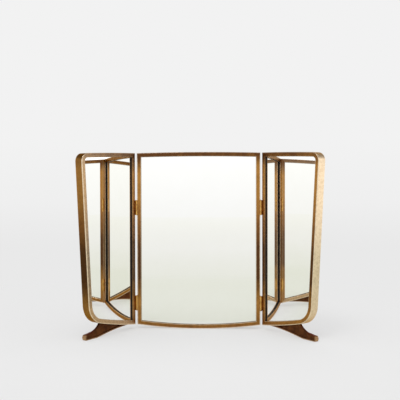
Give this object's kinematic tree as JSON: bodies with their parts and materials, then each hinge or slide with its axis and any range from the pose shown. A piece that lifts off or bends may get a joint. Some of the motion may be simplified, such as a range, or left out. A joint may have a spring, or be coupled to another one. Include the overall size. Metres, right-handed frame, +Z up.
{
  "type": "dressing table mirror",
  "caption": "Free-standing folding triptych dressing table mirror in patinated brass bars: bowed centre panel, hinged wings with cast feet, timber backs.",
  "frame": {"origin": "on the table, at the middle of the flat on which the centre panel's bow rests, half way through the panel's depth", "axes": "+Z up, the mirrors face -Y, +X to the viewer's right along the centre panel"},
  "size_m": [0.7743, 0.2441, 0.603],
  "materials": {
    "patinated_brass": "aged brass bar, brown patina, satin",
    "cast_bronze": "dark cast bronze, worn to bright metal on its edges",
    "hinge_brass": "drawn brass, lightly tarnished",
    "brass_screws": "turned brass",
    "black_slip": "timber slip painted matt black",
    "mirror_glass": "silvered float glass",
    "packing_timber": "plain sawn softwood",
    "backboard_timber": "stained mahogany board, satin polish"
  },
  "bodies": {
    "centre": {"centre_top_rail": "patinated_brass", "centre_bottom_rail": "patinated_brass", "centre_left_stile": "patinated_brass", "centre_right_stile": "patinated_brass", "centre_slip": "black_slip", "centre_mirror": "mirror_glass", "centre_packing": "packing_timber", "centre_backboard": "backboard_timber", "centre_back_screws": "brass_screws", "left_upper_centre_leaf": "hinge_brass", "left_upper_pin": "hinge_brass", "left_lower_centre_leaf": "hinge_brass", "left_lower_pin": "hinge_brass", "right_upper_centre_leaf": "hinge_brass", "right_upper_pin": "hinge_brass", "right_lower_centre_leaf": "hinge_brass", "right_lower_pin": "hinge_brass", "left_centre_leaf_screws": "brass_screws", "right_centre_leaf_screws": "brass_screws"},
    "left_wing": {"left_hinge_stile": "patinated_brass", "left_bow_bar": "patinated_brass", "left_slip": "black_slip", "left_mirror": "mirror_glass", "left_packing": "packing_timber", "left_backboard": "backboard_timber", "left_back_screws": "brass_screws", "left_foot": "cast_bronze", "left_foot_screws": "brass_screws", "left_upper_wing_leaf": "hinge_brass", "left_lower_wing_leaf": "hinge_brass", "left_wing_leaf_screws": "brass_screws"},
    "right_wing": {"right_hinge_stile": "patinated_brass", "right_bow_bar": "patinated_brass", "right_slip": "black_slip", "right_mirror": "mirror_glass", "right_packing": "packing_timber", "right_backboard": "backboard_timber", "right_back_screws": "brass_screws", "right_foot": "cast_bronze", "right_foot_screws": "brass_screws", "right_upper_wing_leaf": "hinge_brass", "right_lower_wing_leaf": "hinge_brass", "right_wing_leaf_screws": "brass_screws"}
  },
  "joints": [
    {"name": "left_wing_fold", "type": "hinge", "parent": "centre", "child": "left_wing", "pos_m": [-0.2112, -0.019, 0.3], "axis": [0, 0, 1], "range_deg": [-56.5, 123.5]},
    {"name": "right_wing_fold", "type": "hinge", "parent": "centre", "child": "right_wing", "pos_m": [0.2112, -0.019, 0.3], "axis": [0, 0, -1], "range_deg": [-52, 117]}
  ]
}
